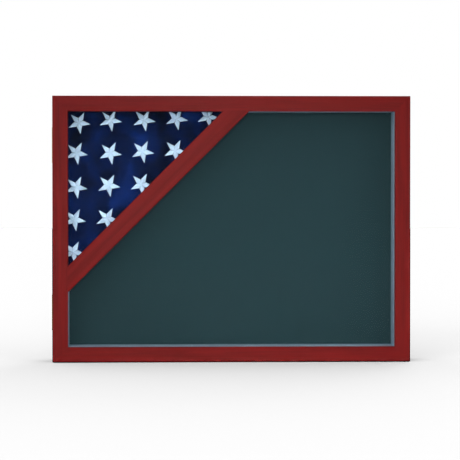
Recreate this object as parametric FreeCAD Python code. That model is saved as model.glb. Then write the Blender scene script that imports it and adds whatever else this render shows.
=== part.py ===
import FreeCAD, Part
import math
import os

# Folded flag display case: a mitred wooden box with a diagonal divider, a
# glazed front door hinged at the left, a triangular compartment that holds a
# folded flag, and a lined display compartment beside it.
# Millimetres, +Z up, front towards -Y. Origin: centre of the resting face.

V = FreeCAD.Vector
os.makedirs("parts", exist_ok=True)

# ------------------------------------------------------------ driving sizes
WIDTH = 508.0            # overall width (20 in)
HEIGHT = 378.0           # overall height
Y_FRONT = -35.0          # front face of the door
Y_DOOR_BACK = -17.0      # rear face of the door
Y_BOX_FRONT = -16.0      # front edge of the box walls
Y_BOX_BACK = 35.0        # rear edge of the box walls
DOOR_LIFT = 0.8          # bottom of the door above the table

FACE_W = 22.0            # width of the door's stiles and rails, seen in front
WALL_T = 16.0            # thickness of the box walls
LIP_T = 6.0              # thickness of the lip in front of the glass
GLASS_T = 2.0
BEAD_T = 8.0             # glazing bead depth
TRIM = 6.0               # rabbet depth, bead width and liner thickness
GLASS_PLAY = 0.5         # gap round each pane

DIAG_FLAG = 219.0        # sight edge of the diagonal rail, flag side
DIAG_DISPLAY = 256.5     # sight edge of the diagonal rail, display side

BACK_T = 4.0             # back panel
BACK_RABBET_W = 10.0
BACK_PLAY = 0.5
FELT_T = 1.0
BOARD_T = 12.5           # soft pin board under the felt
LINER_SETBACK = 0.5      # liners' front edges behind the box front

FLAG_LEG = 231.0         # legs of the folded flag
FLAG_GAP = 2.5           # flag to the walls at its right-angled corner
FLAG_FRONT = -14.0
FLAG_BACK = 25.0

EASE_OUT = 1.6           # rounded outer front edges
EASE_IN = 1.2            # rounded sight edges
PART_EASE = 1.5          # chamfer where door and box meet at the hinge side

HINGE_X = -WIDTH / 2 + 1.0
HINGE_Y = (Y_DOOR_BACK + Y_BOX_FRONT) / 2
HINGE_Z = (70.0, 308.0)
HINGE_LEN = 50.0
LEAF_W = 13.0
LEAF_T = 1.0
KNUCKLE_R = 2.2
PIN_R = 1.0
PIN_PLAY = 0.05
BARREL_CLEAR = 0.3
KNUCKLE_HALF = 8.2       # half length of the middle knuckle
KNUCKLE_GAP = 0.3

MAGNET_D = 8.0
MAGNET_L = 8.0
CATCH_X = 246.0
CATCH_Z = (95.0, 283.0)
STRIKE_D = 12.0
STRIKE_T = 1.0
DOOR_BUMPER_Z = (30.0, 348.0)

NOTCH_R = 12.0           # thumb notch in the right wall
NOTCH_DEPTH = 3.5
NOTCH_Z = 189.0

RING_X = 243.0
RING_Z = 304.0
RING_Y = 37.6
WIRE_R = 1.25
RING_HALF = 8.0
RING_LEG = 5.0
RING_BEND = 2.6
STRAP_W = 10.0
STRAP_T = 1.0

# ------------------------------------------------------------ derived
HW = WIDTH / 2
SX = HW - FACE_W                       # sight edge, left and right
SZ0 = FACE_W                           # sight edge, bottom
SZ1 = HEIGHT - FACE_W                  # sight edge, top
WX = HW - WALL_T                       # inner face of the walls
WZ0 = WALL_T
WZ1 = HEIGHT - WALL_T
R2 = math.sqrt(2.0)
WEB_FLAG = DIAG_FLAG + TRIM * R2       # divider and diagonal web, flag side
WEB_DISPLAY = DIAG_DISPLAY - TRIM * R2
Y_GLASS0 = Y_FRONT + LIP_T
Y_GLASS1 = Y_GLASS0 + GLASS_T
Y_BEAD1 = Y_GLASS1 + BEAD_T
Y_BACK0 = Y_BOX_BACK - BACK_T
Y_FELT0 = Y_BACK0 - BOARD_T - FELT_T
Y_LINER0 = Y_BOX_FRONT + LINER_SETBACK


def diag_x(level, z):
    """x on the 45 degree line of the given level, at height z."""
    return level - SX - SZ1 + z


def diag_z(level, x):
    return x + SX + SZ1 - level


# ------------------------------------------------------------ helpers
def poly(points, y0, y1):
    pts = [V(x, y0, z) for x, z in points]
    face = Part.Face(Part.makePolygon(pts + [pts[0]]))
    return face.extrude(V(0, y1 - y0, 0))


def box(x0, x1, y0, y1, z0, z1):
    return Part.makeBox(x1 - x0, y1 - y0, z1 - z0, V(x0, y0, z0))


def cyl(r, p, d, h):
    return Part.makeCylinder(r, h, V(*p), V(*d))


def edges_at(shape, points):
    """The straight edges whose middles lie nearest to the given points."""
    out = []
    for p in points:
        p = V(*p)
        best, far = None, 1e9
        for e in shape.Edges:
            m = (e.Vertexes[0].Point + e.Vertexes[-1].Point) * 0.5
            d = (m - p).Length
            if d < far:
                best, far = e, d
        out.append(best)
    return out


def ring(outer, inner, y0, y1):
    """Mitred pieces between two polygons with matching corners."""
    n = len(outer)
    return [poly([outer[i], outer[(i + 1) % n], inner[(i + 1) % n], inner[i]], y0, y1)
            for i in range(n)]


def fuse(shapes):
    s = shapes[0]
    for t in shapes[1:]:
        s = s.fuse(t)
    return s.removeSplitter()


def turned(shape, pos, axis):
    s = shape.copy()
    s.Placement = FreeCAD.Placement(V(*pos), FreeCAD.Rotation(V(0, 0, 1), V(*axis)))
    return s


def cs_screw(head_d, head_h, shank_d, length):
    """Countersunk screw, head face at z = 0, point at z = -length."""
    h, s = head_d / 2, shank_d / 2
    pts = [V(0, 0, 0), V(h, 0, 0), V(h, 0, -0.2), V(s, 0, -head_h), V(s, 0, -length + 2.0),
           V(0.2, 0, -length), V(0, 0, -length)]
    face = Part.Face(Part.makePolygon(pts + [pts[0]]))
    return face.revolve(V(0, 0, 0), V(0, 0, 1), 360)


def pan_screw(head_d, head_h, shank_d, length):
    """Pan head screw, seat at z = 0, point at z = -length."""
    h, s = head_d / 2, shank_d / 2
    pts = [V(0, 0, head_h), V(h * 0.6, 0, head_h), V(h * 0.9, 0, head_h * 0.72), V(h, 0, head_h * 0.3),
           V(h, 0, 0), V(s, 0, 0), V(s, 0, -length + 2.0), V(0.2, 0, -length), V(0, 0, -length)]
    face = Part.Face(Part.makePolygon(pts + [pts[0]]))
    return face.revolve(V(0, 0, 0), V(0, 0, 1), 360)


def recess(shape, head_z, size):
    """Cross recess in a screw head."""
    a = box(-size / 2, size / 2, -0.35, 0.35, head_z - 0.7, head_z + 1)
    b = box(-0.35, 0.35, -size / 2, size / 2, head_z - 0.7, head_z + 1)
    return shape.cut(a).cut(b)


NODES = {}


def add(name, *solids):
    NODES[name] = Part.makeCompound(list(solids)) if len(solids) > 1 else solids[0]


# ------------------------------------------------------------ box
out_c = [(-HW, 0.0), (-HW, HEIGHT), (HW, HEIGHT), (HW, 0.0)]     # left, top, right, bottom
wall_c = [(-WX, WZ0), (-WX, WZ1), (WX, WZ1), (WX, WZ0)]
reb = BACK_RABBET_W
rebate_c = [(-WX - reb, WZ0 - reb), (-WX - reb, WZ1 + reb), (WX + reb, WZ1 + reb), (WX + reb, WZ0 - reb)]
walls = []
for a, b in zip(ring(out_c, wall_c, Y_BOX_FRONT, Y_BACK0), ring(out_c, rebate_c, Y_BACK0, Y_BOX_BACK)):
    walls.append(a.fuse(b).removeSplitter())
box_left, box_top, box_right, box_bottom = walls

box_left = box_left.makeChamfer(PART_EASE, edges_at(box_left, [(-HW, Y_BOX_FRONT, HEIGHT / 2)]))
box_left = box_left.makeFillet(1.0, edges_at(box_left, [(-HW, Y_BOX_BACK, HEIGHT / 2)]))
box_top = box_top.makeFillet(1.0, edges_at(box_top, [(0, Y_BOX_FRONT, HEIGHT), (0, Y_BOX_BACK, HEIGHT)]))
box_right = box_right.makeFillet(1.0, edges_at(box_right, [(HW, Y_BOX_FRONT, HEIGHT / 2), (HW, Y_BOX_BACK, HEIGHT / 2)]))
box_bottom = box_bottom.makeChamfer(0.5, edges_at(box_bottom, [(0, Y_BOX_FRONT, 0), (0, Y_BOX_BACK, 0)]))


def corner_wedge(y, s, r):
    """Full-height wedge that carries the parting chamfer across the mitred ends."""
    pts = [V(-HW - 1, y - s, -1), V(-HW + r + s * s, y - s, -1), V(-HW - 1, y + s * (r + 1), -1)]
    return Part.Face(Part.makePolygon(pts + [pts[0]])).extrude(V(0, 0, HEIGHT + 2))


# the mitred ends of the top and bottom share the chamfer of the left wall
box_wedge = corner_wedge(Y_BOX_FRONT, 1.0, PART_EASE)
box_top = box_top.cut(box_wedge)
box_bottom = box_bottom.cut(box_wedge)

# thumb notch behind the free edge of the door
box_right = box_right.cut(cyl(NOTCH_R, (HW - NOTCH_DEPTH, Y_BOX_FRONT, NOTCH_Z), (1, 0, 0), NOTCH_DEPTH + 2))

# diagonal divider between the two compartments
divider = poly([(diag_x(WEB_FLAG, WZ1), WZ1), (diag_x(WEB_DISPLAY, WZ1), WZ1),
                (-WX, diag_z(WEB_DISPLAY, -WX)), (-WX, diag_z(WEB_FLAG, -WX))], Y_BOX_FRONT, Y_BACK0)

# dowels along the divider's line, two at each end
mid = (WEB_FLAG + WEB_DISPLAY) / 2
ends = [((diag_x(mid, WZ1), WZ1), 1.0), ((-WX, diag_z(mid, -WX)), -1.0)]
dowels = []
for (x, z), s in ends:
    for y in (-3.0, 18.0):
        d = V(s / R2, 0, s / R2)
        p = V(x, y, z) - d * 17.0
        dowels.append(Part.makeCylinder(3.0, 29.0, p, d))
for d in dowels:
    divider = divider.cut(d)
    box_top = box_top.cut(d)
    box_left = box_left.cut(d)

# splines across the box mitres
SPLINE = 20.0
splines = []
for sx in (-1, 1):
    for sz, zc in ((1, 0.0), (-1, HEIGHT)):
        for y in (-6.0, 21.0):
            x = sx * HW
            splines.append(poly([(x, zc), (x - sx * SPLINE, zc), (x, zc + sz * SPLINE)], y - 1.2, y + 1.2))
for s in splines:
    box_left = box_left.cut(s)
    box_top = box_top.cut(s)
    box_right = box_right.cut(s)
    box_bottom = box_bottom.cut(s)

# ------------------------------------------------------------ door
L = DOOR_LIFT
door_poly = {
    "left": [(-HW, L), (-HW, HEIGHT), (-SX, SZ1), (-SX, SZ0), (-HW + L, L)],
    "right": [(HW, HEIGHT), (HW, L), (HW - L, L), (SX, SZ0), (SX, SZ1)],
    "top": [(-HW, HEIGHT), (HW, HEIGHT), (SX, SZ1), (-SX, SZ1)],
    "bottom": [(-HW + L, L), (HW - L, L), (SX, SZ0), (-SX, SZ0)],
}
rabbet_cut = poly([(-WX, WZ0), (WX, WZ0), (WX, WZ1), (-WX, WZ1)], Y_GLASS0, Y_DOOR_BACK + 1)
door = {}
for k, pts in door_poly.items():
    door[k] = poly(pts, Y_FRONT, Y_DOOR_BACK).cut(rabbet_cut)
mz = (HEIGHT + L) / 2
front_edges = {"left": [(-HW, Y_FRONT, mz)], "right": [(HW, Y_FRONT, mz)],
               "top": [(0, Y_FRONT, HEIGHT)], "bottom": [(0, Y_FRONT, L)]}
sight_edges = {"left": [(-SX, Y_FRONT, HEIGHT / 2)], "right": [(SX, Y_FRONT, HEIGHT / 2)],
               "top": [(0, Y_FRONT, SZ1)], "bottom": [(0, Y_FRONT, SZ0)]}
back_edges = {"left": [(-HW, Y_DOOR_BACK, mz)], "right": [(HW, Y_DOOR_BACK, mz)],
              "top": [(0, Y_DOOR_BACK, HEIGHT)], "bottom": [(0, Y_DOOR_BACK, L)]}
for k in door:
    door[k] = door[k].makeFillet(EASE_OUT, edges_at(door[k], front_edges[k]))
    door[k] = door[k].makeFillet(EASE_IN, edges_at(door[k], sight_edges[k]))
    if k == "left":
        door[k] = door[k].makeChamfer(PART_EASE, edges_at(door[k], back_edges[k]))
    else:
        door[k] = door[k].makeFillet(0.8, edges_at(door[k], back_edges[k]))
door_wedge = corner_wedge(Y_DOOR_BACK, -1.0, PART_EASE)
for k in ("top", "bottom"):
    door[k] = door[k].cut(door_wedge)

# diagonal rail: the lip butts on the front frame and is coped over its
# rounded edge, the web runs to the rabbet walls
far = 60.0
lip = poly([(diag_x(DIAG_FLAG, SZ1 + far), SZ1 + far), (diag_x(DIAG_DISPLAY, SZ1 + far), SZ1 + far),
            (-SX - far, diag_z(DIAG_DISPLAY, -SX - far)), (-SX - far, diag_z(DIAG_FLAG, -SX - far))],
           Y_FRONT, Y_GLASS0)
cx, cz = (diag_x(0, SZ1 + far) - SX - far) / 2, (SZ1 + far + diag_z(0, -SX - far)) / 2


def diag_mid(level, y):
    x = (diag_x(level, SZ1 + far) - SX - far) / 2
    z = (SZ1 + far + diag_z(level, -SX - far)) / 2
    return (x, y, z)


lip = lip.makeFillet(EASE_IN, edges_at(lip, [diag_mid(DIAG_FLAG, Y_FRONT), diag_mid(DIAG_DISPLAY, Y_FRONT)]))
lip = lip.common(box(-SX - EASE_IN, SX, Y_FRONT - 1, Y_GLASS0 + 1, 0, SZ1 + EASE_IN))
lip = lip.cut(door["top"]).cut(door["left"])
web = poly([(diag_x(WEB_FLAG, WZ1), WZ1), (diag_x(WEB_DISPLAY, WZ1), WZ1),
            (-WX, diag_z(WEB_DISPLAY, -WX)), (-WX, diag_z(WEB_FLAG, -WX))], Y_GLASS0, Y_DOOR_BACK)
diagonal = lip.fuse(web).removeSplitter()

# splines across the door mitres
door_splines = []
for sx in (-1, 1):
    for sz, zc in ((1, 0.0), (-1, HEIGHT)):
        x = sx * HW
        s = poly([(x, zc), (x - sx * 18.0, zc), (x, zc + sz * 18.0)], -23.2, -20.8)
        if sz == 1:
            s = s.common(box(-HW, HW, -40, 0, L, 60))
        door_splines.append(s)
for s in door_splines:
    for k in door:
        door[k] = door[k].cut(s)

# ------------------------------------------------------------ glass and beads
p = GLASS_PLAY
flag_pane = poly([(-WX + p, WZ1 - p), (diag_x(WEB_FLAG - p * R2, WZ1 - p), WZ1 - p),
                  (-WX + p, diag_z(WEB_FLAG - p * R2, -WX + p))], Y_GLASS0, Y_GLASS1)
display_pane = poly([(diag_x(WEB_DISPLAY + p * R2, WZ1 - p), WZ1 - p), (WX - p, WZ1 - p), (WX - p, WZ0 + p),
                     (-WX + p, WZ0 + p), (-WX + p, diag_z(WEB_DISPLAY + p * R2, -WX + p))], Y_GLASS0, Y_GLASS1)

flag_o = [(-WX, WZ1), (diag_x(WEB_FLAG, WZ1), WZ1), (-WX, diag_z(WEB_FLAG, -WX))]
flag_i = [(-SX, SZ1), (diag_x(DIAG_FLAG, SZ1), SZ1), (-SX, diag_z(DIAG_FLAG, -SX))]
disp_o = [(diag_x(WEB_DISPLAY, WZ1), WZ1), (WX, WZ1), (WX, WZ0), (-WX, WZ0), (-WX, diag_z(WEB_DISPLAY, -WX))]
disp_i = [(diag_x(DIAG_DISPLAY, SZ1), SZ1), (SX, SZ1), (SX, SZ0), (-SX, SZ0), (-SX, diag_z(DIAG_DISPLAY, -SX))]

flag_beads = ring(flag_o, flag_i, Y_GLASS1, Y_BEAD1)          # top, diagonal, left
disp_beads = ring(disp_o, disp_i, Y_GLASS1, Y_BEAD1)          # top, right, bottom, left, diagonal


def soften(solids, inner, y, r):
    out = []
    n = len(inner)
    for i, s in enumerate(solids):
        a, b = inner[i], inner[(i + 1) % n]
        out.append(s.makeFillet(r, edges_at(s, [((a[0] + b[0]) / 2, y, (a[1] + b[1]) / 2)])))
    return out


flag_beads = soften(flag_beads, flag_i, Y_BEAD1, 2.5)
disp_beads = soften(disp_beads, disp_i, Y_BEAD1, 2.5)

# brads through the beads into the rabbet walls: (x, z, direction)
d2 = 1.0 / R2
brads_at = []
for z in (165.0, 250.0, 340.0):
    brads_at.append((-SX, z, -1.0, 0.0))
for x in (-215.0, -125.0, -40.0):
    brads_at.append((x, SZ1, 0.0, 1.0))
for x in (-205.0, -122.0, -40.0):
    brads_at.append((x, diag_z(DIAG_FLAG, x), d2, -d2))
for z in (36.0, 90.0):
    brads_at.append((-SX, z, -1.0, 0.0))
for x in (-190.0, -65.0, 65.0, 190.0):
    brads_at.append((x, SZ0, 0.0, -1.0))
for z in (60.0, 189.0, 318.0):
    brads_at.append((SX, z, 1.0, 0.0))
for x in (55.0, 200.0):
    brads_at.append((x, SZ1, 0.0, 1.0))
for x in (-200.0, -104.0, -8.0):
    brads_at.append((x, diag_z(DIAG_DISPLAY, x), -d2, d2))
brads = []
yb = Y_GLASS1 + 2.6
for x, z, dx, dz in brads_at:
    # on the diagonal the brad is short enough to stay inside the web
    ln = 10.5 if dx and dz else 12.0
    start = V(x, yb, z) + V(dx, 0, dz) * 0.3
    b = Part.makeCylinder(0.5, ln, start, V(dx, 0, dz))
    h = Part.makeCylinder(0.9, 0.6, start, V(dx, 0, dz))
    brads.append(b.fuse(h).removeSplitter())


def cut_all(s, tools):
    for t in tools:
        if s.BoundBox.intersect(t.BoundBox):
            s = s.cut(t)
    return s


flag_beads = [cut_all(s, brads) for s in flag_beads]
disp_beads = [cut_all(s, brads) for s in disp_beads]
for k in door:
    door[k] = cut_all(door[k], brads)
diagonal = cut_all(diagonal, brads)

# ------------------------------------------------------------ liners, felt and boards
liners = ring(disp_o, disp_i, Y_LINER0, Y_FELT0)
liners = soften(liners, disp_i, Y_LINER0, 0.8)
g = 0.2
felt_c = [(diag_x(WEB_DISPLAY + g * R2, WZ1 - g), WZ1 - g), (WX - g, WZ1 - g), (WX - g, WZ0 + g),
          (-WX + g, WZ0 + g), (-WX + g, diag_z(WEB_DISPLAY + g * R2, -WX + g))]
felt = poly(felt_c, Y_FELT0, Y_FELT0 + FELT_T)
board = poly(felt_c, Y_FELT0 + FELT_T, Y_BACK0)
g = 1.0
backer_c = [(-WX + g, WZ1 - g), (diag_x(WEB_FLAG - g * R2, WZ1 - g), WZ1 - g),
            (-WX + g, diag_z(WEB_FLAG - g * R2, -WX + g))]
backer = poly(backer_c, FLAG_BACK, Y_BACK0)

# ------------------------------------------------------------ folded flag
fx, fz = -WX + FLAG_GAP, WZ1 - FLAG_GAP
flag = poly([(fx, fz), (fx + FLAG_LEG, fz), (fx, fz - FLAG_LEG)], FLAG_FRONT, FLAG_BACK)
flag = flag.makeFillet(4.0, edges_at(flag, [(fx, FLAG_FRONT, fz - FLAG_LEG / 2), (fx + FLAG_LEG / 2, FLAG_FRONT, fz),
                                            (fx + FLAG_LEG / 2, FLAG_FRONT, fz - FLAG_LEG / 2)]))

# ------------------------------------------------------------ back panel
bp = reb - BACK_PLAY
back = poly([(-WX - bp, WZ0 - bp), (WX + bp, WZ0 - bp), (WX + bp, WZ1 + bp), (-WX - bp, WZ1 + bp)], Y_BACK0, Y_BOX_BACK)
back_pts = [(sx * 243.0, z) for sx in (-1, 1) for z in (60.0, 150.0, 240.0, 335.0)]
back_pts += [(x, z) for z in (11.0, 367.0) for x in (-150.0, 0.0, 150.0)]
blank = pan_screw(6.2, 1.9, 2.6, 14.0)
back_screws, back_blanks = [], []
for x, z in back_pts:
    back_blanks.append(turned(blank, (x, Y_BOX_BACK, z), (0, 1, 0)))
    back_screws.append(turned(recess(blank, 1.9, 3.0), (x, Y_BOX_BACK, z), (0, 1, 0)))
back = cut_all(back, back_blanks)
box_left, box_top, box_right, box_bottom = [cut_all(s, back_blanks) for s in (box_left, box_top, box_right, box_bottom)]

# ------------------------------------------------------------ hinges
blank = cs_screw(5.0, 1.6, 2.4, 10.0)
leaf_box, leaf_door, pins = [], [], []
hs_box, hs_door, hb_box, hb_door = [], [], [], []
hy0 = Y_BOX_FRONT
for zc in HINGE_Z:
    h = HINGE_LEN / 2
    k = KNUCKLE_HALF
    kk = k + KNUCKLE_GAP
    x0, x1 = HINGE_X + 1.3, HINGE_X + LEAF_W
    rc = KNUCKLE_R + BARREL_CLEAR
    # leaf in the box wall with the two outer knuckles
    plate = box(x0, x1, Y_BOX_FRONT, Y_BOX_FRONT + LEAF_T, zc - h, zc + h)
    plate = plate.cut(cyl(rc, (HINGE_X, HINGE_Y, zc - kk), (0, 0, 1), 2 * kk))
    lb = fuse([plate, cyl(KNUCKLE_R, (HINGE_X, HINGE_Y, zc - h), (0, 0, 1), h - kk),
               cyl(KNUCKLE_R, (HINGE_X, HINGE_Y, zc + kk), (0, 0, 1), h - kk)])
    lb = lb.cut(cyl(PIN_R, (HINGE_X, HINGE_Y, zc - h - 1), (0, 0, 1), 2 * h + 2))
    # leaf in the door with the middle knuckle
    plate = box(x0, x1, Y_DOOR_BACK - LEAF_T, Y_DOOR_BACK, zc - h, zc + h)
    plate = plate.cut(cyl(rc, (HINGE_X, HINGE_Y, zc - h - 1), (0, 0, 1), h + 1 - k))
    plate = plate.cut(cyl(rc, (HINGE_X, HINGE_Y, zc + k), (0, 0, 1), h + 1 - k))
    ld = fuse([plate, cyl(KNUCKLE_R, (HINGE_X, HINGE_Y, zc - k), (0, 0, 1), 2 * k)])
    ld = ld.cut(cyl(PIN_R + PIN_PLAY, (HINGE_X, HINGE_Y, zc - h - 1), (0, 0, 1), 2 * h + 2))
    for dz in (-17.0, 0.0, 17.0):
        x = HINGE_X + 8.0
        sb = turned(blank, (x, Y_BOX_FRONT, zc + dz), (0, -1, 0))
        sd = turned(blank, (x, Y_DOOR_BACK, zc + dz), (0, 1, 0))
        lb, ld = lb.cut(sb), ld.cut(sd)
        hb_box.append(sb)
        hb_door.append(sd)
        cross = recess(blank, 0.0, 2.8)
        hs_box.append(turned(cross, (x, Y_BOX_FRONT, zc + dz), (0, -1, 0)))
        hs_door.append(turned(cross, (x, Y_DOOR_BACK, zc + dz), (0, 1, 0)))
    leaf_box.append(lb)
    leaf_door.append(ld)
    pin = cyl(PIN_R, (HINGE_X, HINGE_Y, zc - h), (0, 0, 1), 2 * h)
    head = cyl(2.0, (HINGE_X, HINGE_Y, zc + h), (0, 0, 1), 0.9)
    foot = cyl(1.6, (HINGE_X, HINGE_Y, zc - h - 0.6), (0, 0, 1), 0.6)
    pins.append(fuse([pin, head, foot]))
    relief = cyl(rc, (HINGE_X, HINGE_Y, zc - h - 2.0), (0, 0, 1), 2 * h + 4.0)
    box_left = box_left.cut(relief)
    box_left = box_left.cut(box(HINGE_X, x1, Y_BOX_FRONT - 0.1, Y_BOX_FRONT + LEAF_T, zc - h, zc + h))
    door["left"] = door["left"].cut(relief)
    door["left"] = door["left"].cut(box(HINGE_X, x1, Y_DOOR_BACK - LEAF_T, Y_DOOR_BACK + 0.1, zc - h, zc + h))
box_left = cut_all(box_left, hb_box)
door["left"] = cut_all(door["left"], hb_door)

# ------------------------------------------------------------ magnetic catches
magnets, strikes, strike_screws, door_bumpers = [], [], [], []
blank = cs_screw(5.0, 1.6, 2.4, 9.0)
for z in CATCH_Z:
    m = cyl(MAGNET_D / 2, (CATCH_X, Y_BOX_FRONT, z), (0, 1, 0), MAGNET_L)
    magnets.append(m)
    box_right = box_right.cut(m)
    s = cyl(STRIKE_D / 2, (CATCH_X, Y_DOOR_BACK - STRIKE_T, z), (0, 1, 0), STRIKE_T)
    sc = turned(blank, (CATCH_X, Y_DOOR_BACK, z), (0, 1, 0))
    door["right"] = door["right"].cut(s).cut(sc)
    strikes.append(s.cut(sc))
    strike_screws.append(turned(recess(blank, 0.0, 2.8), (CATCH_X, Y_DOOR_BACK, z), (0, 1, 0)))
for z in DOOR_BUMPER_Z:
    b = cyl(4.0, (CATCH_X, Y_BOX_FRONT - 0.85, z), (0, 1, 0), 0.85)
    door_bumpers.append(b.makeFillet(0.3, [e for e in b.Edges if abs(e.BoundBox.YMax - (Y_BOX_FRONT - 0.85)) < 0.01]))

# ------------------------------------------------------------ hangers
straps, rings, hanger_screws, hanger_blanks = [], [], [], []
blank = pan_screw(6.4, 2.0, 2.8, 14.0)
for sx in (-1, 1):
    xc = sx * RING_X
    w = STRAP_W / 2
    plate = box(xc - w, xc + w, Y_BOX_BACK, Y_BOX_BACK + STRAP_T, RING_Z - 19.0, RING_Z)
    plate = plate.fuse(cyl(w, (xc, Y_BOX_BACK, RING_Z - 19.0), (0, 1, 0), STRAP_T))
    loop = cyl(2.5, (xc - 4.5, RING_Y, RING_Z), (1, 0, 0), 9.0)
    strap = plate.fuse(loop).removeSplitter()
    strap = strap.cut(cyl(WIRE_R + PIN_PLAY, (xc - 10, RING_Y, RING_Z), (1, 0, 0), 20))
    hb = turned(blank, (xc, Y_BOX_BACK + STRAP_T, RING_Z - 19.0), (0, 1, 0))
    strap = strap.cut(hb)
    straps.append(strap)
    hanger_blanks.append(hb)
    hanger_screws.append(turned(recess(blank, 2.0, 3.2), (xc, Y_BOX_BACK + STRAP_T, RING_Z - 19.0), (0, 1, 0)))
    # ring: a straight bar in the loop, two legs and a half circle
    a, r, lg = RING_HALF, RING_BEND, RING_LEG
    c45 = math.sqrt(0.5)

    def P(x, z):
        return V(xc + x, RING_Y, RING_Z + z)

    e = [Part.LineSegment(P(0, 0), P(a - r, 0)).toShape(),
         Part.Arc(P(a - r, 0), P(a - r + r * c45, -r + r * c45), P(a, -r)).toShape(),
         Part.LineSegment(P(a, -r), P(a, -lg)).toShape(),
         Part.Arc(P(a, -lg), P(0, -lg - a), P(-a, -lg)).toShape(),
         Part.LineSegment(P(-a, -lg), P(-a, -r)).toShape(),
         Part.Arc(P(-a, -r), P(-a + r - r * c45, -r + r * c45), P(-a + r, 0)).toShape(),
         Part.LineSegment(P(-a + r, 0), P(0, 0)).toShape()]
    path = Part.Wire(e)
    prof = Part.Wire([Part.makeCircle(WIRE_R, P(0, 0), V(1, 0, 0))])
    pipe = Part.BRepOffsetAPI.MakePipeShell(path)
    pipe.add(prof)
    pipe.build()
    pipe.makeSolid()
    rings.append(pipe.shape())
back = cut_all(back, hanger_blanks)
box_left, box_right = cut_all(box_left, hanger_blanks), cut_all(box_right, hanger_blanks)

# rubber bumpers that keep the case off a wall
WALL_PAD_T = 5.5
wall_bumpers = []
for x in (-243.0, 243.0):
    for z in (24.0, 356.0):
        b = cyl(5.5, (x, Y_BOX_BACK, z), (0, 1, 0), WALL_PAD_T)
        b = b.makeFillet(1.0, [e for e in b.Edges if abs(e.BoundBox.YMin - (Y_BOX_BACK + WALL_PAD_T)) < 0.01])
        wall_bumpers.append(b)

# ------------------------------------------------------------ nodes
add("box_left", box_left)
add("box_top", box_top)
add("box_right", box_right)
add("box_bottom", box_bottom)
add("divider_wall", divider)
add("divider_dowels", *dowels)
add("box_corner_splines", *splines)
for name, s in zip(("top", "right", "bottom", "left", "diagonal"), liners):
    add("display_liner_" + name, s)
add("display_felt", felt)
add("display_board", board)
add("folded_flag", flag)
add("flag_backer", backer)
add("back_panel", back)
add("back_panel_screws", *back_screws)
add("hinge_leaf_box_lower", leaf_box[0])
add("hinge_leaf_box_upper", leaf_box[1])
add("hinge_pin_lower", pins[0])
add("hinge_pin_upper", pins[1])
add("hinge_screws_box", *hs_box)
add("door_magnets", *magnets)
add("door_bumpers", *door_bumpers)
add("hanger_strap_left", straps[0])
add("hanger_strap_right", straps[1])
add("hanger_screws", *hanger_screws)
add("wall_bumpers", *wall_bumpers)
add("door_stile_left", door["left"])
add("door_stile_right", door["right"])
add("door_rail_top", door["top"])
add("door_rail_bottom", door["bottom"])
add("door_rail_diagonal", diagonal)
add("door_corner_splines", *door_splines)
add("flag_pane", flag_pane)
add("display_pane", display_pane)
for name, s in zip(("top", "diagonal", "left"), flag_beads):
    add("flag_bead_" + name, s)
for name, s in zip(("top", "right", "bottom", "left", "diagonal"), disp_beads):
    add("display_bead_" + name, s)
add("bead_brads", *brads)
add("hinge_leaf_door_lower", leaf_door[0])
add("hinge_leaf_door_upper", leaf_door[1])
add("hinge_screws_door", *hs_door)
add("strike_plates", *strikes)
add("strike_screws", *strike_screws)
add("hanger_ring_left", rings[0])
add("hanger_ring_right", rings[1])

for name, shape in NODES.items():
    ok = shape.isValid() and len(shape.Solids) >= 1 and all(s.Volume > 0 for s in shape.Solids)
    print("%-24s solids %2d  volume %10.1f  %s" % (name, len(shape.Solids), shape.Volume, "ok" if ok else "BAD"))
    shape.exportStep("parts/%s.step" % name)
print(len(NODES), "nodes")
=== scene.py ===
import math

import bmesh
import bpy
from mathutils import Matrix, Vector, noise


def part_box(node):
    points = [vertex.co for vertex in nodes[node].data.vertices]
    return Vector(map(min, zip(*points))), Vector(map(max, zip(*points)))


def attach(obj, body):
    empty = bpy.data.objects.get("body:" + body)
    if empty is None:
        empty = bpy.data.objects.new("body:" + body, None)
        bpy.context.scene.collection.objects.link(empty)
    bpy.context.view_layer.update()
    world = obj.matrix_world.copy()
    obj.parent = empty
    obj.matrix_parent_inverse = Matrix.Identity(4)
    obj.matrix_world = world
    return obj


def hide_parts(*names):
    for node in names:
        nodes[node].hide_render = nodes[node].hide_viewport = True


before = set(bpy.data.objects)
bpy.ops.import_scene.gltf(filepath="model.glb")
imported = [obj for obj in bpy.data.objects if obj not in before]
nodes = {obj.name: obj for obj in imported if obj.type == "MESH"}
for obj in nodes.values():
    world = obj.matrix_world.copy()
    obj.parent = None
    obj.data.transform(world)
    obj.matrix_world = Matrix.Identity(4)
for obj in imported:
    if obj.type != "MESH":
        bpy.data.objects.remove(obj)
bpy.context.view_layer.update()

R2 = math.sqrt(2.0)
MM = 0.001

# ---------------------------------------------------------------- camera
SENSOR = 36.0
LENS = 173.5
FRONT_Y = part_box("door_rail_top")[0].y
TOP_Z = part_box("door_rail_top")[1].z
AIM = Vector((-0.0026, FRONT_Y, TOP_Z / 2 - 0.0011))
EYE = Vector((-0.115, FRONT_Y - 3.1413, 0.256))
cam_data = bpy.data.cameras.new("camera")
cam_data.lens = LENS
cam_data.sensor_width = SENSOR
cam_data.clip_start, cam_data.clip_end = 0.05, 60.0
cam = bpy.data.objects.new("camera", cam_data)
bpy.context.scene.collection.objects.link(cam)
cam.location = EYE
cam.rotation_mode = "QUATERNION"
cam.rotation_quaternion = (AIM - EYE).to_track_quat("-Z", "Y")
bpy.context.scene.camera = cam


# ---------------------------------------------------------------- node helpers
def new_mat(name):
    m = bpy.data.materials.new(name)
    m.use_nodes = True
    nt = m.node_tree
    nt.nodes.clear()
    out = nt.nodes.new("ShaderNodeOutputMaterial")
    b = nt.nodes.new("ShaderNodeBsdfPrincipled")
    nt.links.new(b.outputs["BSDF"], out.inputs["Surface"])
    return m, nt, b


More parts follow.
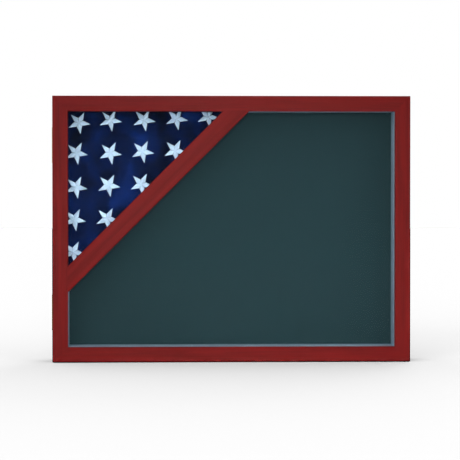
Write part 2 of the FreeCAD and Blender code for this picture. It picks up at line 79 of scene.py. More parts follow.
def N(nt, kind, **props):
    n = nt.nodes.new(kind)
    for k, v in props.items():
        setattr(n, k, v)
    return n


def mapping(nt, src, scale=(1, 1, 1), rot=(0, 0, 0), loc=(0, 0, 0)):
    m = N(nt, "ShaderNodeMapping")
    m.inputs["Scale"].default_value = scale
    m.inputs["Rotation"].default_value = rot
    m.inputs["Location"].default_value = loc
    nt.links.new(src, m.inputs["Vector"])
    return m.outputs["Vector"]


def tex_noise(nt, vec, scale=1.0, detail=4.0, rough=0.55, distort=0.0):
    n = N(nt, "ShaderNodeTexNoise")
    n.inputs["Scale"].default_value = scale
    n.inputs["Detail"].default_value = detail
    n.inputs["Roughness"].default_value = rough
    n.inputs["Distortion"].default_value = distort
    nt.links.new(vec, n.inputs["Vector"])
    return n.outputs["Fac"]


def ramp(nt, fac, stops, interp="LINEAR"):
    r = N(nt, "ShaderNodeValToRGB")
    r.color_ramp.interpolation = interp
    els = r.color_ramp.elements
    while len(els) < len(stops):
        els.new(0.5)
    for e, (p, c) in zip(els, stops):
        e.position = p
        e.color = (c[0], c[1], c[2], 1.0)
    nt.links.new(fac, r.inputs["Fac"])
    return r.outputs["Color"]


def math_node(nt, op, a, b):
    m = N(nt, "ShaderNodeMath", operation=op)
    for i, v in enumerate((a, b)):
        if isinstance(v, (int, float)):
            m.inputs[i].default_value = v
        else:
            nt.links.new(v, m.inputs[i])
    return m.outputs[0]


def map_range(nt, v, a, b, c, d):
    m = N(nt, "ShaderNodeMapRange")
    nt.links.new(v, m.inputs["Value"])
    for k, x in (("From Min", a), ("From Max", b), ("To Min", c), ("To Max", d)):
        m.inputs[k].default_value = x
    return m.outputs["Result"]


def mix_rgb(nt, fac, a, b, mode="MIX"):
    m = N(nt, "ShaderNodeMix", data_type="RGBA", blend_type=mode)
    for key, v in ((0, fac), (6, a), (7, b)):
        if isinstance(v, (int, float)):
            m.inputs[key].default_value = v
        elif isinstance(v, (tuple, list)):
            m.inputs[key].default_value = (v[0], v[1], v[2], 1.0)
        else:
            nt.links.new(v, m.inputs[key])
    return m.outputs[2]


def bump(nt, bsdf, height, dist, strength=1.0):
    b = N(nt, "ShaderNodeBump")
    b.inputs["Strength"].default_value = strength
    b.inputs["Distance"].default_value = dist
    nt.links.new(height, b.inputs["Height"])
    nt.links.new(b.outputs["Normal"], bsdf.inputs["Normal"])


def scaled(c, k):
    return tuple(min(1.0, x * k) for x in c)


def coords(nt):
    return N(nt, "ShaderNodeTexCoord").outputs["Object"]


# ---------------------------------------------------------------- materials
CHERRY = (0.1125, 0.0042, 0.0039)


def wood(name, turn, base=CHERRY, offset=0.0, vary=0.30, rough=0.40, spec=0.05, coat=0.015):
    """Lacquered wood with its grain along X after the turn about Y."""
    m, nt, b = new_mat(name)
    co = coords(nt)
    turned = mapping(nt, co, rot=(0, turn, 0), loc=(0.37 + offset, offset * 1.7, 0.11 * offset))
    wide = tex_noise(nt, mapping(nt, turned, scale=(5, 95, 95)), 1.0, 3, 0.5, 0.6)
    fine = tex_noise(nt, mapping(nt, turned, scale=(14, 520, 520)), 1.0, 5, 0.6)
    pores = tex_noise(nt, mapping(nt, turned, scale=(70, 2300, 2300)), 1.0, 2, 0.5)
    g = math_node(nt, "ADD", math_node(nt, "MULTIPLY", wide, 0.62), math_node(nt, "MULTIPLY", fine, 0.38))
    col = ramp(nt, g, [(0.30, scaled(base, 1 - vary)), (0.5, base), (0.70, scaled(base, 1 + vary))])
    dark = map_range(nt, pores, 0.62, 0.74, 0.0, 0.42)
    col = mix_rgb(nt, dark, col, scaled(base, 0.45))
    nt.links.new(col, b.inputs["Base Color"])
    r = map_range(nt, fine, 0.3, 0.7, rough - 0.05, rough + 0.07)
    nt.links.new(r, b.inputs["Roughness"])
    b.inputs["Specular IOR Level"].default_value = spec
    b.inputs["Coat Weight"].default_value = coat
    b.inputs["Coat Roughness"].default_value = 0.22
    h = math_node(nt, "SUBTRACT", math_node(nt, "MULTIPLY", fine, 0.5), math_node(nt, "MULTIPLY", dark, 0.8))
    bump(nt, b, h, 0.00006, 0.6)
    return m


WOOD_X = wood("cherry_along_x", 0.0)
WOOD_Z = wood("cherry_along_z", math.radians(90), offset=0.9)
WOOD_D = wood("cherry_diagonal", math.radians(45), offset=2.1)
WOOD_Y = wood("cherry_end_grain", 0.0, offset=4.2, vary=0.1, rough=0.45)


def plain(name, base, rough, scale, vary, bump_d=0.00005, metallic=0.0, spec=0.5, detail=4, coat=0.0, sheen=0.0):
    m, nt, b = new_mat(name)
    f = tex_noise(nt, mapping(nt, coords(nt), scale=scale), 1.0, detail, 0.6)
    col = ramp(nt, f, [(0.3, scaled(base, 1 - vary)), (0.7, scaled(base, 1 + vary))])
    nt.links.new(col, b.inputs["Base Color"])
    nt.links.new(map_range(nt, f, 0.3, 0.7, max(0.02, rough - 0.06), min(1.0, rough + 0.06)), b.inputs["Roughness"])
    b.inputs["Metallic"].default_value = metallic
    b.inputs["Specular IOR Level"].default_value = spec
    b.inputs["Coat Weight"].default_value = coat
    b.inputs["Sheen Weight"].default_value = sheen
    if bump_d:
        bump(nt, b, f, bump_d)
    return m


def hardboard():
    """Tempered hardboard: dark brown, fine fibres, slightly mottled."""
    m, nt, b = new_mat("hardboard")
    co = coords(nt)
    big = tex_noise(nt, co, 30, 3, 0.5)
    fib = tex_noise(nt, mapping(nt, co, scale=(900, 900, 1500)), 1.0, 3, 0.7, 1.2)
    base = (0.135, 0.070, 0.034)
    col = ramp(nt, fib, [(0.25, scaled(base, 0.62)), (0.5, base), (0.78, scaled(base, 1.6))])
    col = mix_rgb(nt, map_range(nt, big, 0.3, 0.7, 0.0, 0.35), col, scaled(base, 0.7))
    nt.links.new(col, b.inputs["Base Color"])
    b.inputs["Roughness"].default_value = 0.62
    bump(nt, b, fib, 0.00008, 0.7)
    return m


def liner_paper():
    """Pale blue-grey paper glued over board: faint laid fibres and mottling."""
    m, nt, b = new_mat("liner_paper")
    co = coords(nt)
    a = tex_noise(nt, mapping(nt, co, scale=(900, 900, 900)), 1.0, 3, 0.7)
    c = tex_noise(nt, mapping(nt, co, scale=(60, 60, 60)), 1.0, 2, 0.5)
    base = LINER
    col = ramp(nt, a, [(0.25, scaled(base, 0.86)), (0.75, scaled(base, 1.12))])
    col = mix_rgb(nt, map_range(nt, c, 0.3, 0.7, 0.0, 0.18), col, scaled(base, 0.88))
    nt.links.new(col, b.inputs["Base Color"])
    b.inputs["Roughness"].default_value = 0.86
    b.inputs["Specular IOR Level"].default_value = 0.25
    bump(nt, b, a, 0.00006, 0.6)
    return m


def felt_mat():
    """Pressed wool felt: short matted fibres in every direction with a soft sheen."""
    m, nt, b = new_mat("felt")
    co = coords(nt)
    fib1 = tex_noise(nt, mapping(nt, co, scale=(650, 650, 210), rot=(0, 0.5, 0)), 1.0, 4, 0.65, 1.6)
    fib2 = tex_noise(nt, mapping(nt, co, scale=(230, 650, 700), rot=(0, -0.7, 0)), 1.0, 4, 0.65, 1.6)
    blot = tex_noise(nt, co, 55, 3, 0.6, 0.4)
    f = math_node(nt, "MULTIPLY", math_node(nt, "ADD", fib1, fib2), 0.5)
    base = FELT
    col = ramp(nt, f, [(0.34, scaled(base, 0.74)), (0.5, base), (0.66, scaled(base, 1.32))])
    col = mix_rgb(nt, map_range(nt, blot, 0.35, 0.65, 0.0, 0.22), col, scaled(base, 0.86))
    nt.links.new(col, b.inputs["Base Color"])
    b.inputs["Roughness"].default_value = 0.95
    b.inputs["Specular IOR Level"].default_value = 0.08
    b.inputs["Sheen Weight"].default_value = 0.10
    b.inputs["Sheen Roughness"].default_value = 0.6
    b.inputs["Sheen Tint"].default_value = (0.45, 0.8, 0.85, 1)
    bump(nt, b, f, 0.00025, 0.8)
    return m


def glass_mat():
    m, nt, b = new_mat("pane_glass")
    b.inputs["Base Color"].default_value = (0.012, 0.022, 0.019, 1)
    b.inputs["Roughness"].default_value = 0.015
    b.inputs["IOR"].default_value = 1.5
    b.inputs["Alpha"].default_value = 0.03
    f = tex_noise(nt, mapping(nt, coords(nt), scale=(3, 3, 3)), 1.0, 2, 0.5)
    bump(nt, b, f, 0.0001, 0.15)
    return m


def rubber(name, base, rough):
    return plain(name, base, rough, (900, 900, 900), 0.15, 0.00004, spec=0.35)


def metal(name, base, rough, brushed=(300, 300, 40)):
    m, nt, b = new_mat(name)
    co = coords(nt)
    f = tex_noise(nt, mapping(nt, co, scale=brushed), 1.0, 4, 0.6)
    t = tex_noise(nt, mapping(nt, co, scale=(120, 120, 120)), 1.0, 3, 0.6)
    col = ramp(nt, t, [(0.3, scaled(base, 0.82)), (0.7, scaled(base, 1.1))])
    nt.links.new(col, b.inputs["Base Color"])
    b.inputs["Metallic"].default_value = 1.0
    nt.links.new(map_range(nt, f, 0.3, 0.7, rough - 0.06, rough + 0.08), b.inputs["Roughness"])
    bump(nt, b, f, 0.00003, 0.5)
    return m


LINER = (0.262, 0.368, 0.462)
FELT = (0.0115, 0.0302, 0.0352)
BLUE = (0.0013, 0.0075, 0.0480)
STAR = (0.55, 0.765, 0.96)
STRIPE_RED = (0.30, 0.018, 0.022)
STRIPE_WHITE = (0.62, 0.66, 0.70)

LINER_M = liner_paper()
FELT_M = felt_mat()
GLASS_M = glass_mat()
BRASS_M = metal("satin_brass", (0.62, 0.42, 0.15), 0.30)
ZINC_M = metal("zinc_plate", (0.62, 0.62, 0.60), 0.34)
NICKEL_M = metal("nickel", (0.72, 0.70, 0.66), 0.18)
RUBBER_M = rubber("black_rubber", (0.022, 0.022, 0.023), 0.75)
SILICONE_M = rubber("clear_silicone", (0.45, 0.45, 0.43), 0.35)
HARDBOARD_M = hardboard()
FIBRE_M = plain("fibreboard", (0.33, 0.22, 0.12), 0.85, (700, 700, 700), 0.25, 0.00008, spec=0.2)
FOAM_M = plain("foam_board", (0.68, 0.68, 0.65), 0.9, (500, 500, 500), 0.06, 0.00005, spec=0.2)
BEECH_M = plain("beech_dowel", (0.50, 0.34, 0.19), 0.6, (60, 900, 900), 0.2, 0.00004, spec=0.3)

PAINT = {}
for n in ("box_top", "box_bottom", "door_rail_top", "door_rail_bottom", "flag_bead_top"):
    PAINT[n] = WOOD_X
for n in ("box_left", "box_right", "door_stile_left", "door_stile_right", "flag_bead_left"):
    PAINT[n] = WOOD_Z
for n in ("divider_wall", "door_rail_diagonal", "flag_bead_diagonal"):
    PAINT[n] = WOOD_D
for n in ("box_corner_splines", "door_corner_splines"):
    PAINT[n] = WOOD_Y
for n in nodes:
    if n.startswith(("display_liner", "display_bead")):
        PAINT[n] = LINER_M
    elif n.startswith("hinge"):
        PAINT[n] = BRASS_M
    elif n in ("hanger_strap_left", "hanger_strap_right", "hanger_ring_left", "hanger_ring_right", "hanger_screws",
               "back_panel_screws", "strike_plates", "strike_screws", "bead_brads"):
        PAINT[n] = ZINC_M
    elif n.endswith("_pane"):
        PAINT[n] = GLASS_M
PAINT.update({"door_magnets": NICKEL_M, "wall_bumpers": RUBBER_M, "door_bumpers": SILICONE_M, "back_panel": HARDBOARD_M,
              "display_board": FIBRE_M, "flag_backer": FOAM_M, "divider_dowels": BEECH_M, "display_felt": FELT_M,
              "folded_flag": FOAM_M})
for n, o in nodes.items():
    if n not in PAINT:
        raise RuntimeError("no material for " + n)
    o.data.materials.clear()
    o.data.materials.append(PAINT[n])


# ---------------------------------------------------------------- mesh helpers
def make(name, verts, faces, mat, smooth=True):
    me = bpy.data.meshes.new(name)
    me.from_pydata([tuple(v) for v in verts], [], faces)
    me.validate()
    me.update()
    o = bpy.data.objects.new(name, me)
    bpy.context.scene.collection.objects.link(o)
    me.materials.append(mat)
    if smooth:
        for p in me.polygons:
            p.use_smooth = True
    return o


def apply_all(o):
    dg = bpy.context.evaluated_depsgraph_get()
    me = bpy.data.meshes.new_from_object(o.evaluated_get(dg))
    o.modifiers.clear()
    o.data = me


def fbm(x, y, s, seed=0.0, octaves=3):
    t, a, k = 0.0, 1.0, 1.0
    for i in range(octaves):
        t += a * noise.noise(Vector((x * s * k + 13.1 * seed, y * s * k - 7.7 * seed, seed + 3.3 * i)))
        a *= 0.5
        k *= 2.0
    return t


# ---------------------------------------------------------------- felt sheet
flo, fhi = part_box("display_felt")


def felt_piece():
    """The felt, glued over its board: a thin sheet with a slightly uneven, matted face."""
    bm = bmesh.new()
    nx, nz = 96, 70
    lvl = None
    f0 = nodes["display_felt"].data
    # the diagonal edge: x - z is smallest along it
    lvl = min(v.co.x - v.co.z for v in f0.vertices)
    y = flo.y + 0.0004
    grid = {}
    for i in range(nx + 1):
        for j in range(nz + 1):
            grid[i, j] = bm.verts.new((flo.x + (fhi.x - flo.x) * i / nx, y, flo.z + (fhi.z - flo.z) * j / nz))
    for i in range(nx):
        for j in range(nz):
            bm.faces.new((grid[i, j], grid[i + 1, j], grid[i + 1, j + 1], grid[i, j + 1]))
    p = Vector((lvl, 0, 0))
    bmesh.ops.bisect_plane(bm, geom=bm.verts[:] + bm.edges[:] + bm.faces[:], plane_co=p,
                           plane_no=Vector((-1, 0, 1)).normalized(), clear_outer=True, dist=1e-6)
    for v in bm.verts:
        v.co.y -= 0.0002 * (0.5 + 0.5 * fbm(v.co.x, v.co.z, 60, 2.0, 3))
    bmesh.ops.recalc_face_normals(bm, faces=bm.faces)
    me = bpy.data.meshes.new("felt_sheet")
    bm.to_mesh(me)
    bm.free()
    o = bpy.data.objects.new("felt_sheet", me)
    bpy.context.scene.collection.objects.link(o)
    me.materials.append(FELT_M)
    for q in me.polygons:
        q.use_smooth = True
    if me.polygons[0].normal.y > 0:
        me.flip_normals()
    s = o.modifiers.new("t", "SOLIDIFY")
    s.thickness = 0.0005
    s.offset = -1
    apply_all(o)
    return o


felt = felt_piece()
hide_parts("display_felt")
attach(felt, "case")

# ---------------------------------------------------------------- folded flag
glo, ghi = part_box("folded_flag")
STRIP = 0.2286          # a 3 by 5 ft flag folded lengthwise to a quarter of its width
FLAG_L, FLAG_W = 1.524, 0.9144
CANTON_S, CANTON_T = FLAG_L - 0.762 * 0.8, 0.492
INSET = 0.0025
leg_cad = ghi.x - glo.x
LEG = leg_cad - INSET * (2 + R2)
CORNER = Vector((glo.x + INSET, 0, ghi.z - INSET))
A_V = Vector((LEG, 0, 0))       # along the top
B_V = Vector((0, 0, -LEG))      # down the left side
OUT_N = {"hyp": Vector((1, 0, -1)).normalized(), "A": Vector((0, 0, 1)), "B": Vector((-1, 0, 0))}
GRID = 24
END_COL = 16                    # 152.4 mm of the last square
SLOTS = 7
Y_FACE = glo.y + 0.0016
Y_REAR = ghi.y - 0.0006
Y_MID = (Y_FACE + Y_REAR) / 2
PITCH = (Y_REAR - Y_FACE) / (SLOTS * 8)
front_slot = {1: 0, 3: 1, 5: 2, 7: 3, 9: 4, 13: 5, 11: 6}


def slot_of(k):
    return (1, front_slot[k]) if k % 2 else (-1, k // 2)


def tri(k):
    """Right-angled corner and the ends of the long side, in grid units of the strip's square."""
    j = k // 2
    g = GRID
    if j % 2 == 0:
        r = (0, g) if k % 2 == 0 else (g, 0)
        a, b = (0, 0), (g, g)
    else:
        r = (0, 0) if k % 2 == 0 else (g, g)
        a, b = (g, 0), (0, g)
    return r, a, b


def inside(k, i, j):
    sq = k // 2
    g = GRID
    if sq == 6 and i > END_COL:
        return False
    if sq % 2 == 0:
        return j >= i if k % 2 == 0 else j <= i
    return i + j <= g if k % 2 == 0 else i + j >= g


def ease(d):
    d = max(0.0, min(1.0, d))
    return d * d * (3 - 2 * d)


def puff(a, b):
    """Thickness of the bundle at a place, as a part of its most: pressed thin along its folds, full in the middle."""
    top, left, hyp = 1 - ease(b / 0.19), 1 - ease(a / 0.13), 1 - ease((1 - a - b) / R2 / 0.10)
    return 1.0 - 0.48 * top - 0.20 * left * (1 - 0.9 * top) - 0.05 * hyp


def lean(b):
    """The bundle sags back from the glass towards its top edge."""
    return 0.0082 * (1 - ease(b / 0.20))


def height(k, q):
    side, slot = slot_of(k)
    return side, (slot * 4 + q + 0.5) * PITCH


def placed(k, q, i, j):
    r, ea, eb = tri(k)
    g2 = GRID * GRID
    a = ((i - r[0]) * (ea[0] - r[0]) + (j - r[1]) * (ea[1] - r[1])) / g2
    b = ((i - r[0]) * (eb[0] - r[0]) + (j - r[1]) * (eb[1] - r[1])) / g2
    side, h = height(k, q)
    h *= puff(a, b)
    p = CORNER + A_V * a + B_V * b
    return Vector((p.x, Y_MID - side * h + lean(b), p.z)), a, b


verts, faces, face_tag = [], [], []
index = {}
strip_st = []


def sheet_t(q, v):
    """Place across the whole cloth for ply q at v across the strip."""
    w = STRIP
    return {0: w - v, 1: 3 * w + v, 2: 3 * w - v, 3: w + v}[q]


for k in range(14):
    for q in range(4):
        for i in range(GRID + 1):
            for j in range(GRID + 1):
                if inside(k, i, j):
                    p, a, b = placed(k, q, i, j)
                    index[k, q, i, j] = len(verts)
                    verts.append(p)
                    strip_st.append(((k // 2) * STRIP + STRIP * i / GRID, sheet_t(q, STRIP * j / GRID)))
        for i in range(GRID):
            for j in range(GRID):
                c = [(i, j), (i + 1, j), (i + 1, j + 1), (i, j + 1)]
                got = [index[k, q, x, y] for x, y in c if (k, q, x, y) in index]
                if len(got) >= 3:
                    faces.append(tuple(got))
                    face_tag.append((k, q))


def bend(line_a, line_b, normal, depth, steps):
    """A U-shaped strip of cloth between two matching rows of points."""
    rows = [line_a]
    for s in range(1, steps):
        t = s / steps
        ang = math.pi * t
        row = []
        for u, v in zip(line_a, line_b):
            p, r = verts[u], verts[v]
            mid, half = (p + r) / 2, (p - r) / 2
            # a flattened half ellipse
            cs, sn = math.cos(ang), math.sin(ang)
            cs = math.copysign(abs(cs) ** 0.8, cs)
            sn = abs(sn) ** 0.6
            row.append(len(verts))
            verts.append(mid + half * cs + normal * depth * sn)
            st0, st1 = strip_st[u], strip_st[v]
            strip_st.append((st0[0] * (1 - t) + st1[0] * t, st0[1] * (1 - t) + st1[1] * t))
        rows.append(row)
    rows.append(line_b)
    for r0, r1 in zip(rows, rows[1:]):
        for x in range(len(r0) - 1):
            faces.append((r0[x], r0[x + 1], r1[x + 1], r1[x]))
            face_tag.append((-1, -1))


for k in range(13):
    sq = k // 2
    for q in range(4):
        depth = 0.0005 + 0.000125 * k + 0.00011 * q
        steps = 4 if k < 8 else 8
        if k % 2 == 0:
            last = END_COL if sq == 6 else GRID
            pts = [(i, i) if sq % 2 == 0 else (i, GRID - i) for i in range(last + 1)]
            la = [index[k, q, i, j] for i, j in pts]
            lb = [index[k + 1, q, i, j] for i, j in pts]
            bend(la, lb, OUT_N["hyp"], depth, steps)
        else:
            la = [index[k, q, GRID, j] for j in range(GRID + 1)]
            lb = [index[k + 1, q, 0, j] for j in range(GRID + 1)]
            bend(la, lb, OUT_N["B" if sq % 2 == 0 else "A"], depth, steps)

# lengthwise folds: plies 1-2 and 0-3 at one side of the strip, 3-2 at the other
for k in range(14):
    for row_j, pairs in ((0, ((2, 1), (3, 0))), (GRID, ((3, 2),))):
        cols = [i for i in range(GRID + 1) if (k, 0, i, row_j) in index]
        if len(cols) < 2:
            continue
        r, ea, eb = tri(k)
        # which leg of the triangle this edge is
        leg = "A" if (ea[1] == row_j and r[1] == row_j) else "B"
        side_out = OUT_N["A"] if leg == "A" else OUT_N["B"]
        for qa, qb in pairs:
            bend([index[k, qa, i, row_j] for i in cols], [index[k, qb, i, row_j] for i in cols],
                 side_out, 0.0005 + 0.0002 * (abs(qa - qb) - 1), 3)

flag_me = bpy.data.meshes.new("flag_cloth")
flag_me.from_pydata([tuple(v) for v in verts], [], faces)
flag_me.update()
ply = flag_me.attributes.new("ply", "INT", "FACE")
for n, (k, q) in enumerate(face_tag):
    ply.data[n].value = k * 4 + q if k >= 0 else -1
st = flag_me.attributes.new("cloth", "FLOAT_VECTOR", "POINT")
for n, (s, t) in enumerate(strip_st):
    st.data[n].vector = (s, t, 0.0)
flag = bpy.data.objects.new("flag_cloth", flag_me)
bpy.context.scene.collection.objects.link(flag)

# finer cloth on the ply that faces the glass
bm = bmesh.new()
bm.from_mesh(flag_me)
lay = bm.faces.layers.int["ply"]
front_id = 11 * 4 + 3
front_faces = [f for f in bm.faces if f[lay] == front_id]
edges = list({e for f in front_faces for e in f.edges})
bmesh.ops.subdivide_edges(bm, edges=edges, cuts=5, use_grid_fill=True)
cx = bm.verts.layers.float_vector["cloth"]

# the rows stand a little out of true where the cloth turns over its folds, in millimetres
OFF = {(-1, -1): (-1.7, -1.2), (0, -1): (-2.7, 0.2), (1, -1): (-0.4, -1.5), (2, -1): (0.1, -1.9),
       (-1, 0): (-2.8, 1.2), (2, 0): (0.1, -1.4), (-1, 1): (-1.1, -1.2), (1, 1): (0.2, -1.0), (-1, 2): (-1.1, -1.2),
       (0, 2): (-0.4, -1.9), (-1, 3): (-0.4, -1.2)}
STARS = []
for i in range(-1, 4):
    for j in range(-1, 4):
        dx, dz = OFF.get((i, j), (-0.4, -0.8))
        STARS.append(Vector((-0.1721 + 0.0459 * i - 0.0023 * j + dx * MM, 0, 0.2980 + 0.0021 * i - 0.0462 * j + dz * MM)))
STAR_R = 0.0168


def cloth_relief(x, z):
    """How far the front ply stands towards the glass, in metres."""
    soft = 0.5 + 0.5 * fbm(x + 0.03, z, 17, 5.0, 2)
    fold = 0.5 + 0.5 * noise.noise(Vector(((x + z) * 26, (x - z) * 7, 1.7)))
    h = 0.0007 * soft + 0.0004 * fold
    near = min((Vector((x, 0, z)) - s).length for s in STARS)
    # cloth pulled in a little round the dense stitching
    h -= 0.00028 * math.exp(-((near - STAR_R * 0.95) / 0.0045) ** 2)
    return h


def edge_fade(x, z):
    a = (x - CORNER.x) / LEG
    b = (CORNER.z - z) / LEG
    d = min(a, b, (1 - a - b) / R2)
    d = max(0.0, min(1.0, d / 0.05))
    return d * d * (3 - 2 * d)


for v in {v for f in bm.faces if f[lay] == front_id for v in f.verts}:
    v.co.y -= cloth_relief(v.co.x, v.co.z) * edge_fade(v.co.x, v.co.z)
bmesh.ops.recalc_face_normals(bm, faces=bm.faces)
bm.to_mesh(flag_me)
bm.free()
for p in flag_me.polygons:
    p.use_smooth = True


def flag_mat():
    """Woven cloth: blue field, and red and white stripes on the rest of the sheet, by place on the cloth."""
    m, nt, b = new_mat("flag_weave")
    at = N(nt, "ShaderNodeAttribute", attribute_name="cloth")
    sep = N(nt, "ShaderNodeSeparateXYZ")
    nt.links.new(at.outputs["Vector"], sep.inputs["Vector"])
    s, t = sep.outputs["X"], sep.outputs["Y"]
    stripe = math_node(nt, "MODULO", t, 2 * FLAG_W / 13)
    is_red = math_node(nt, "LESS_THAN", stripe, FLAG_W / 13)
    body = mix_rgb(nt, is_red, STRIPE_WHITE, STRIPE_RED)
    canton = math_node(nt, "MULTIPLY", math_node(nt, "GREATER_THAN", s, CANTON_S), math_node(nt, "LESS_THAN", t, CANTON_T))
    co = coords(nt)
    # painted sheen: large noise blotches lighten and darken the blue field's base colour where the cloth leans to the
    # light
    painted_sheen = tex_noise(nt, mapping(nt, co, scale=(27, 27, 21), rot=(0, 0.5, 0), loc=(0.4, 0, 1.3)), 1.0, 3, 0.5, 0.35)
    fine = tex_noise(nt, mapping(nt, co, scale=(160, 160, 160)), 1.0, 3, 0.6)
    blue = ramp(nt, painted_sheen, [(0.34, scaled(BLUE, 0.20)), (0.46, scaled(BLUE, 0.9)), (0.57, scaled(BLUE, 1.9)), (0.68, scaled(BLUE, 3.6))])
    blue = mix_rgb(nt, map_range(nt, fine, 0.35, 0.65, 0.0, 0.30), blue, scaled(BLUE, 0.6))
    col = mix_rgb(nt, canton, body, blue)
    # weave: two crossing sets of threads
    sc = N(nt, "ShaderNodeVectorMath", operation="SCALE")
    nt.links.new(at.outputs["Vector"], sc.inputs[0])
    sc.inputs["Scale"].default_value = 1.0
    warp = N(nt, "ShaderNodeTexWave", wave_type="BANDS", bands_direction="X")
    weft = N(nt, "ShaderNodeTexWave", wave_type="BANDS", bands_direction="Y")
    for w in (warp, weft):
        w.inputs["Scale"].default_value = 560.0
        w.inputs["Distortion"].default_value = 0.4
        w.inputs["Detail"].default_value = 1.0
        nt.links.new(sc.outputs["Vector"], w.inputs["Vector"])
    weave = math_node(nt, "MAXIMUM", warp.outputs["Fac"], weft.outputs["Fac"])
    shade = map_range(nt, weave, 0.0, 1.0, 0.0, 0.25)
    col = mix_rgb(nt, shade, mix_rgb(nt, 0.35, col, (0.0, 0.0, 0.0)), col)
    nt.links.new(col, b.inputs["Base Color"])
    b.inputs["Roughness"].default_value = 0.72
    b.inputs["Specular IOR Level"].default_value = 0.05
    b.inputs["Sheen Weight"].default_value = 0.05
    b.inputs["Sheen Roughness"].default_value = 0.45
    b.inputs["Sheen Tint"].default_value = (0.25, 0.40, 1.0, 1)
    bump(nt, b, weave, 0.00008, 0.5)
    return m


FLAG_M = flag_mat()
flag_me.materials.clear()
flag_me.materials.append(FLAG_M)
sol = flag.modifiers.new("cloth", "SOLIDIFY")
sol.thickness = 0.0003
sol.offset = 0.0
apply_all(flag)
for p in flag.data.polygons:
    p.use_smooth = True


# ---------------------------------------------------------------- embroidered stars
def face_y(x, z):
    """The front of the cloth at x, z."""
    a = (x - CORNER.x) / LEG
    b = (CORNER.z - z) / LEG
    side, h = height(11, 3)
    h *= puff(a, b)
    return Y_MID - h + lean(b) - cloth_relief(x, z) * edge_fade(x, z) - 0.00015


def star_mesh(bm, centre, radius, tip_deg, seed):
    uv = bm.loops.layers.uv.verify()
    inner = radius * 0.382 * 1.06
    arms = 5
    steps = 14
    wob = lambda n: 1.0 + 0.015 * noise.noise(Vector((seed * 3.1, n * 1.9, 0.3)))
    for k in range(arms):
        a0 = math.radians(tip_deg + 72 * k)
        u = Vector((math.cos(a0), 0, math.sin(a0)))
        v = Vector((-math.sin(a0), 0, math.cos(a0)))
        ri = inner * math.cos(math.radians(36))
        wi = inner * math.sin(math.radians(36))
        rows = []
        ln = radius * wob(k)
        for s in range(steps + 1):
            t = s / steps
            along = ln * t
            if along <= ri:
                half = wi * along / ri
            else:
                half = wi * (ln - along) / (ln - ri)
            row = []
            for c in (-1.0, -0.86, -0.45, 0.0, 0.45, 0.86, 1.0):
                p = centre + u * along + v * (half * c)
                # threads heap up along the middle of each arm and dive at the edges
                dome = (1 - abs(c) ** 2.2)
                ridge = 0.00055 * dome * min(1.0, half / (0.25 * wi) if wi else 1.0) + 0.00022
                if abs(c) == 1.0:
                    ridge = -0.00012
                row.append((Vector((p.x, face_y(p.x, p.z) - ridge, p.z)), along, half * c))
            rows.append(row)
        grid = [[bm.verts.new(x[0]) for x in row] for row in rows]
        for s in range(steps):
            for c in range(6):
                q = [(s, c), (s + 1, c), (s + 1, c + 1), (s, c + 1)]
                try:
                    f = bm.faces.new([grid[i][j] for i, j in q])
                except ValueError:
                    continue
                f.smooth = True
                for lp, (i, j) in zip(f.loops, q):
                    lp[uv].uv = (rows[i][j][1] * 1000.0, rows[i][j][2] * 1000.0)


def stars_piece():
    bm = bmesh.new()
    for n, c in enumerate(STARS):
        if c.x - c.z + (0.0159 + 0.0001) > -0.355 + 0.26:
            continue
        star_mesh(bm, c, STAR_R, 135.0 + 2.0 * noise.noise(Vector((n * 0.7, 2.0, 0.0))), n)
    # nothing beyond the cloth's own folds
    eps = 0.0006
    for co, no in ((Vector((CORNER.x + eps, 0, 0)), Vector((-1, 0, 0))),
                   (Vector((0, 0, CORNER.z - eps)), Vector((0, 0, 1))),
                   (CORNER + A_V - Vector((eps * 1.5, 0, 0)), Vector((1, 0, -1)).normalized())):
        bmesh.ops.bisect_plane(bm, geom=bm.verts[:] + bm.edges[:] + bm.faces[:], plane_co=co, plane_no=no,
                               clear_outer=True, dist=1e-6)
    bmesh.ops.remove_doubles(bm, verts=bm.verts, dist=2e-6)
    bmesh.ops.dissolve_degenerate(bm, edges=bm.edges, dist=1e-6)
    bmesh.ops.recalc_face_normals(bm, faces=bm.faces)
    up = sum(f.normal.y * f.calc_area() for f in bm.faces)
    if up > 0:
        bmesh.ops.reverse_faces(bm, faces=bm.faces)
    me = bpy.data.meshes.new("flag_stars")
    bm.to_mesh(me)
    bm.free()
    o = bpy.data.objects.new("flag_stars", me)
    bpy.context.scene.collection.objects.link(o)
    s = o.modifiers.new("t", "SOLIDIFY")
    s.thickness = 0.0003
    s.offset = -1.0
    apply_all(o)
    return o


def star_mat():
    """Satin stitch in pale thread: fine ribs across each arm."""
    m, nt, b = new_mat("star_thread")
    uv = N(nt, "ShaderNodeUVMap")
    wave = N(nt, "ShaderNodeTexWave", wave_type="BANDS", bands_direction="X")
    wave.inputs["Scale"].default_value = 0.75
    wave.inputs["Distortion"].default_value = 1.1
    wave.inputs["Detail"].default_value = 2.0
    nt.links.new(uv.outputs["UV"], wave.inputs["Vector"])
    co = coords(nt)
    f = tex_noise(nt, mapping(nt, co, scale=(420, 420, 420)), 1.0, 3, 0.6)
    base = STAR
    col = ramp(nt, wave.outputs["Fac"], [(0.0, scaled(base, 0.86)), (0.5, base), (1.0, base)])
    col = mix_rgb(nt, map_range(nt, f, 0.3, 0.7, 0.0, 0.25), col, scaled(base, 0.88))
    nt.links.new(col, b.inputs["Base Color"])
    b.inputs["Roughness"].default_value = 0.5
    b.inputs["Specular IOR Level"].default_value = 0.15
    b.inputs["Sheen Weight"].default_value = 0.03
    bump(nt, b, wave.outputs["Fac"], 0.00012, 0.7)
    return m


stars = stars_piece()
stars.data.materials.clear()
stars.data.materials.append(star_mat())
for p in stars.data.polygons:
    p.use_smooth = True

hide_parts("folded_flag")
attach(flag, "case")
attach(stars, "case")


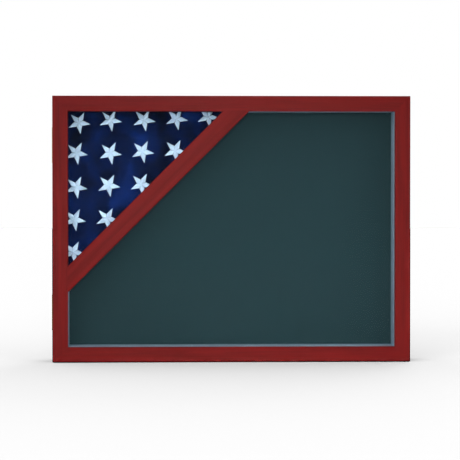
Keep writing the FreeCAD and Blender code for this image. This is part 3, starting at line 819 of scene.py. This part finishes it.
# ---------------------------------------------------------------- stage and lights
def floor_piece():
    bm = bmesh.new()
    bmesh.ops.create_circle(bm, cap_ends=True, cap_tris=False, segments=96, radius=9.0)
    me = bpy.data.meshes.new("floor")
    bm.to_mesh(me)
    bm.free()
    o = bpy.data.objects.new("floor", me)
    bpy.context.scene.collection.objects.link(o)
    m, nt, b = new_mat("studio_floor")
    b.inputs["Base Color"].default_value = (0.80, 0.80, 0.80, 1)
    b.inputs["Roughness"].default_value = 0.9
    b.inputs["Specular IOR Level"].default_value = 0.1
    me.materials.append(m)
    o.is_shadow_catcher = True
    o.location = (0, 0, -0.0002)
    return o


WORLD_LIGHT = 0.62
floor = floor_piece()

world = bpy.data.worlds.new("studio")
bpy.context.scene.world = world
world.use_nodes = True
wt = world.node_tree
wt.nodes.clear()
wo = wt.nodes.new("ShaderNodeOutputWorld")
bg_light = wt.nodes.new("ShaderNodeBackground")
bg_seen = wt.nodes.new("ShaderNodeBackground")
lp = wt.nodes.new("ShaderNodeLightPath")
mx = wt.nodes.new("ShaderNodeMixShader")
bg_light.inputs["Color"].default_value = (1, 1, 1, 1)
bg_light.inputs["Strength"].default_value = WORLD_LIGHT
bg_seen.inputs["Color"].default_value = (1, 1, 1, 1)
bg_seen.inputs["Strength"].default_value = 1.0
wt.links.new(lp.outputs["Is Camera Ray"], mx.inputs[0])
wt.links.new(bg_light.outputs[0], mx.inputs[1])
wt.links.new(bg_seen.outputs[0], mx.inputs[2])
wt.links.new(mx.outputs[0], wo.inputs["Surface"])


def area(name, loc, target, size, watts, color=(1, 1, 1)):
    d = bpy.data.lights.new(name, "AREA")
    d.shape = "DISK"
    d.size = size
    d.energy = watts
    d.color = color
    o = bpy.data.objects.new(name, d)
    bpy.context.scene.collection.objects.link(o)
    o.location = loc
    o.rotation_mode = "QUATERNION"
    o.rotation_quaternion = (Vector(target) - Vector(loc)).to_track_quat("-Z", "Y")
    return o


area("key", (-1.10, -2.85, 1.36), (0, 0, 0.19), 2.0, 30)
area("fill", (1.7, -2.5, 0.45), (0, 0, 0.19), 1.7, 15)
area("back_soft", (0.9, 2.6, 1.6), (0, 0, 0.19), 1.6, 12)
# a soft front light behind the camera, feathered off the glass
front = area("front", (-0.05, -3.4, 0.36), (0.05, 0, 0.055), 0.7, 1.40)
front.data.spread = math.radians(18)
front.visible_glossy = False
bpy.context.scene.view_settings.view_transform = "Standard"
bpy.context.scene.view_settings.look = "None"
